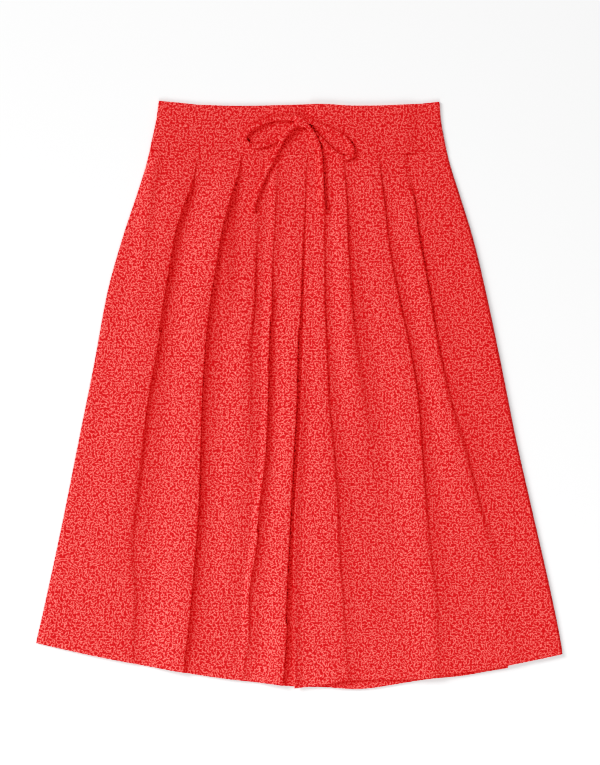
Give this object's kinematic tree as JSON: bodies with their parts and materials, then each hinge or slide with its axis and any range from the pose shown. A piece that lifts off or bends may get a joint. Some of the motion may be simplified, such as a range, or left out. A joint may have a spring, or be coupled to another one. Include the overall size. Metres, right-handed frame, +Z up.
{
  "type": "wrap skirt",
  "caption": "Flared knee-length wrap skirt laid flat, with soft unpressed folds below a shaped waistband and narrow ties in a bow.",
  "frame": {"origin": "middle of the outline, on the surface that the back lies on", "axes": "+X to the viewer's right, +Y from the hem to the waistband, +Z up out of the surface, from the back to the front"},
  "size_m": [0.6634, 0.741, 0.0112],
  "materials": {
    "printed_cotton": "thin matt woven cotton, bright red with a dense all-over print of small pale salmon dashes",
    "tie_cotton": "the same printed cotton, sewn into narrow ties"
  },
  "bodies": {
    "root": {"back_panel": "printed_cotton", "under_wrap_panel": "printed_cotton", "over_wrap_panel": "printed_cotton", "back_waistband": "printed_cotton", "under_wrap_waistband": "printed_cotton", "over_wrap_waistband": "printed_cotton", "left_tie_loop": "tie_cotton", "left_tie_tail": "tie_cotton", "right_tie_loop": "tie_cotton", "right_tie_tail": "tie_cotton", "bow_knot": "tie_cotton"}
  },
  "joints": []
}
